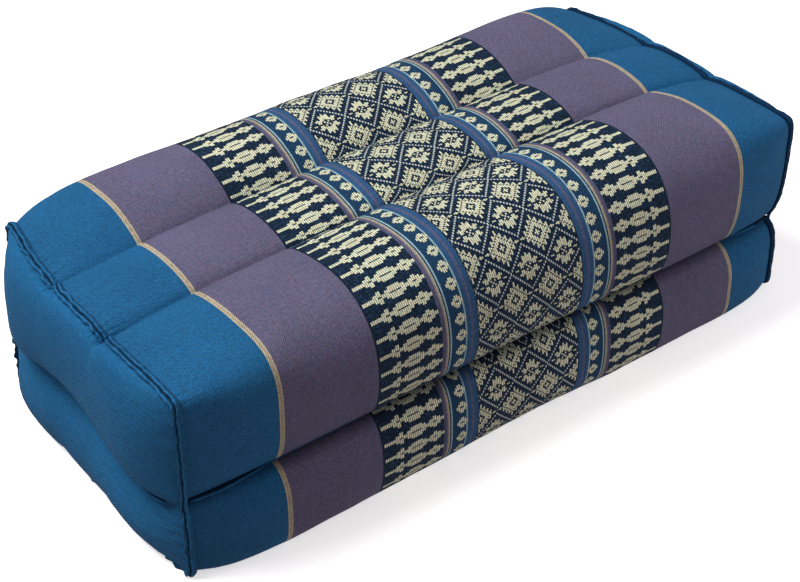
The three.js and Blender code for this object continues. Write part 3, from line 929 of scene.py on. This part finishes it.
def ridge_piece(roots, out, shown, name):
    """A thin edge that stands in the crease near the corners and sinks into it in between."""
    profile = ((-0.3, 0.0), (-0.7, 1.2), (-0.55, 2.0), (0.0, 2.4), (0.55, 2.0), (0.7, 1.2), (0.3, 0.0))
    bm = bmesh.new()
    bmesh.ops.create_grid(bm, x_segments=len(roots) - 1, y_segments=len(profile), size=0.5)
    layer = bm.loops.layers.uv.new("cloth")
    spots = {}
    for vert in bm.verts:
        spots[vert] = (round((vert.co.x + 0.5) * (len(roots) - 1)), round((vert.co.y + 0.5) * len(profile)))
    for vert, (r, c) in spots.items():
        half, height = profile[c % len(profile)]
        root = Vector(roots[r])
        near = shown(root)
        wave = noise.noise(root * 0.09)
        fray = noise.noise(root * 0.5)
        risen = height * (1 + 0.2 * wave + 0.15 * fray) * lerp(0.5, 1, near) - lerp(3.2, 0.9, near)
        aside = half * lerp(0.3, 0.85, near) + 0.2 * wave * height / 2.4
        vert.co = place(root + Vector(out) * risen + Vector((0, 0, aside)))
    for face in bm.faces:
        for loop in face.loops:
            r, c = spots[loop.vert]
            loop[layer].uv = (r * 0.04, c * 0.006)
    bmesh.ops.remove_doubles(bm, verts=bm.verts, dist=0.000005)
    bmesh.ops.holes_fill(bm, edges=[edge for edge in bm.edges if edge.is_boundary], sides=0)
    return finish_mesh(bm, name, 1)


def smooth(share):
    """0 up to four fifths, rising smoothly to 1 at one."""
    t = min(1.0, max(0.0, share * 5 - 4))
    return t * t * (3 - 2 * t)


SEAM_REACH = dict(panel=2.4, wrap=3.4, inside=0.6)  # where the edges are sewn down, from the corner
SEAM_STAND = {-1: 1.0, 1: 0.6}
SEAM_WIDTH = {-1: 3.5, 1: 2.2}  # the right end has the thinner edges
SLIT = 3.5  # the cloth distance at which the two rolled edges of an end seam meet
RIDGE = dict(corner_x=160.0, corner_y=58.0, width=1.5, side_seat=0.3, corner_seat=0.42, end_gap=4.5, side_gap=-1.0, steps=110)


def side_roots(side):
    reach = 1 - RIDGE["side_gap"] / HALF_LENGTH
    roots = []
    for i in range(RIDGE["steps"] + 1):
        t = reach * lerp(-1, 1, i / RIDGE["steps"])
        crease_y, crease_z = crease_at(t)
        wall = min(tier["seam_half_width"] + tier["swell"] * settle(from_seam(t), RUNS["wall"])
                   for tier in (UPPER, LOWER))
        seat = lerp(RIDGE["side_seat"], RIDGE["corner_seat"], t * t)
        roots.append((t * HALF_LENGTH, side * lerp(crease_y, wall, seat), crease_z + TIER_GAP / 2))
    return roots


def end_roots(end):
    reach = crease_at(end)[0] - RIDGE["end_gap"]
    aside = RIDGE["width"] / 2 + TIER_GAP
    steps = RIDGE["steps"] // 2
    roots = []
    for i in range(steps + 1):
        y = lerp(-reach, reach, i / steps)
        crease_z = end_crease_height(y)
        mouth = max(
            seam_reach(end, y, crease_z + tier["side"] * aside) + end_swell(tier, end, y, crease_z + tier["side"] * aside)
            for tier in (UPPER, LOWER)
        )
        roots.append((end * (mouth + PANEL["gap"] + PANEL["thickness"]), y, crease_z))
    return roots


# ---------------------------------------------------------------- operators


class CUSHION_OT_tiers(bpy.types.Operator):
    """Makes the two stuffed tiers in their banded cloth"""
    bl_idname = "cushion.tiers"
    bl_label = "Tiers"

    def execute(self, context):
        sizes = context.scene.cushion_sizes
        material = patterned_cloth(context.scene.cushion_colours)
        for tier, node in ((UPPER, "upper_tier"), (LOWER, "lower_tier")):
            piece = tier_piece(tier, f"{node}_cloth", sizes.rounding)
            hand_over(piece, node, material)
        return {"FINISHED"}


class CUSHION_OT_end_panels(bpy.types.Operator):
    """Makes the plain panel at each end"""
    bl_idname = "cushion.end_panels"
    bl_label = "End panels"

    def execute(self, context):
        material = plain_cloth("panel_cloth", tuple(context.scene.cushion_colours.panel), 0.8, 1.1)
        for side, end in (("left", -1), ("right", 1)):
            piece, area = panel_piece(end, f"{side}_panel_cloth")
            hand_over(piece, f"{side}_end_panel", material)
        return {"FINISHED"}


class CUSHION_OT_end_seams(bpy.types.Operator):
    """Makes the rolled edges that stand on each end seam"""
    bl_idname = "cushion.end_seams"
    bl_label = "End seams"

    def execute(self, context):
        material = rolled_edge_cloth(context.scene.cushion_colours)
        for side, end in (("left", -1), ("right", 1)):
            hand_over(seam_piece(end, f"{side}_seam_edges"), f"{side}_end_seam", material)
        return {"FINISHED"}


class CUSHION_OT_middle_seams(bpy.types.Operator):
    """Makes the thin edges that stand in the crease between the tiers"""
    bl_idname = "cushion.middle_seams"
    bl_label = "Middle seams"

    def execute(self, context):
        material = rolled_edge_cloth(context.scene.cushion_colours)
        near_corner = {
            "end": lambda root: smooth(abs(root.y) / RIDGE["corner_y"]),
            "side": lambda root: smooth(abs(root.x) / RIDGE["corner_x"]),
        }
        for side, roots, out, kind in (
            ("left", end_roots(-1), (-1, 0, 0), "end"), ("right", end_roots(1), (1, 0, 0), "end"),
            ("front", side_roots(-1), (0, -1, 0), "side"), ("back", side_roots(1), (0, 1, 0), "side"),
        ):
            piece = ridge_piece(roots, out, near_corner[kind], f"{side}_crease_edge")
            hand_over(piece, f"{side}_middle_seam", material)
        return {"FINISHED"}


class CUSHION_OT_stage(bpy.types.Operator):
    """Makes the floor, the soft studio light and the camera"""
    bl_idname = "cushion.stage"
    bl_label = "Stage"

    def execute(self, context):
        scene = context.scene
        studio = scene.cushion_studio
        bm = bmesh.new()
        bmesh.ops.create_grid(bm, x_segments=1, y_segments=1, size=6.0)
        mesh = bpy.data.meshes.new("floor")
        bm.to_mesh(mesh)
        bm.free()
        floor = bpy.data.objects.new("floor", mesh)
        scene.collection.objects.link(floor)
        pale = bpy.data.materials.new("pale_floor")
        pale.use_nodes = True
        pale.node_tree.nodes["Principled BSDF"].inputs["Base Color"].default_value = (0.9, 0.9, 0.9, 1)
        pale.node_tree.nodes["Principled BSDF"].inputs["Roughness"].default_value = 0.9
        pale.node_tree.nodes["Principled BSDF"].inputs["Emission Color"].default_value = (1, 1, 1, 1)
        pale.node_tree.nodes["Principled BSDF"].inputs["Emission Strength"].default_value = 0.55
        mesh.materials.append(pale)
        floor.visible_diffuse = False

        world = bpy.data.worlds.new("studio")
        world.use_nodes = True
        world.node_tree.nodes["Background"].inputs["Color"].default_value = (1, 0.84, 0.88, 1)
        world.node_tree.nodes["Background"].inputs["Strength"].default_value = 0.3
        scene.world = world
        for name, where, size, power in (
            ("key_light", (-0.75, 0.55, 1.7), 1.0, 41.0),
            ("fill_light", (0.7, -0.6, 0.35), 0.6, 2.6),
        ):
            light = bpy.data.lights.new(name, "AREA")
            light.shape = "DISK"
            light.size = size
            light.energy = power
            lamp = bpy.data.objects.new(name, light)
            lamp.location = where
            lamp.rotation_mode = "QUATERNION"
            lamp.rotation_quaternion = (Vector((0, 0, 0.05)) - Vector(where)).to_track_quat("-Z", "Y")
            scene.collection.objects.link(lamp)

        az, el = studio.azimuth, studio.elevation
        back = Vector((sin(az) * cos(el), -cos(az) * cos(el), sin(el)))
        right = Vector((0, 0, 1)).cross(back).normalized()
        up = back.cross(right)
        turned_right = right * cos(ROLL) + up * sin(ROLL)
        turned_up = up * cos(ROLL) - right * sin(ROLL)
        lens = bpy.data.cameras.new("camera")
        lens.sensor_width = 36.0
        lens.lens = studio.lens
        camera = bpy.data.objects.new("camera", lens)
        camera.matrix_world = Matrix((
            (turned_right.x, turned_up.x, back.x, 0), (turned_right.y, turned_up.y, back.y, 0),
            (turned_right.z, turned_up.z, back.z, 0), (0, 0, 0, 1),
        ))
        camera.location = Vector((0, 0, 0.05)) + back * studio.distance + right * AIM[0] + up * AIM[1]
        scene.collection.objects.link(camera)
        scene.camera = camera
        scene.view_settings.view_transform = "Standard"
        return {"FINISHED"}


ROLL = radians(0.15)
AIM = (-0.0048, -0.01783)


class CUSHION_PT_panel(bpy.types.Panel):
    """Lists the cushion's settings and pieces"""
    bl_label = "Cushion"
    bl_idname = "CUSHION_PT_panel"
    bl_space_type = "VIEW_3D"
    bl_region_type = "UI"
    bl_category = "Cushion"

    def draw(self, context):
        for group in (context.scene.cushion_sizes, context.scene.cushion_colours, context.scene.cushion_studio):
            for name in group.bl_rna.properties.keys():
                if name not in ("rna_type", "name"):
                    self.layout.prop(group, name)
        for operator in OPERATORS:
            self.layout.operator(operator.bl_idname)


GROUPS = {"cushion_sizes": CushionSizes, "cushion_colours": ClothColours, "cushion_studio": StudioSettings}
OPERATORS = (CUSHION_OT_tiers, CUSHION_OT_end_panels, CUSHION_OT_end_seams, CUSHION_OT_middle_seams, CUSHION_OT_stage)
CLASSES = (*GROUPS.values(), *OPERATORS, CUSHION_PT_panel)


def register():
    for each in CLASSES:
        bpy.utils.register_class(each)
    for name, group in GROUPS.items():
        setattr(bpy.types.Scene, name, PointerProperty(type=group))


def unregister():
    for name in GROUPS:
        delattr(bpy.types.Scene, name)
    for each in reversed(CLASSES):
        bpy.utils.unregister_class(each)


def main():
    register()
    bpy.ops.cushion.tiers()
    bpy.ops.cushion.end_panels()
    bpy.ops.cushion.end_seams()
    bpy.ops.cushion.middle_seams()
    bpy.ops.cushion.stage()


if __name__ == "__main__":
    main()
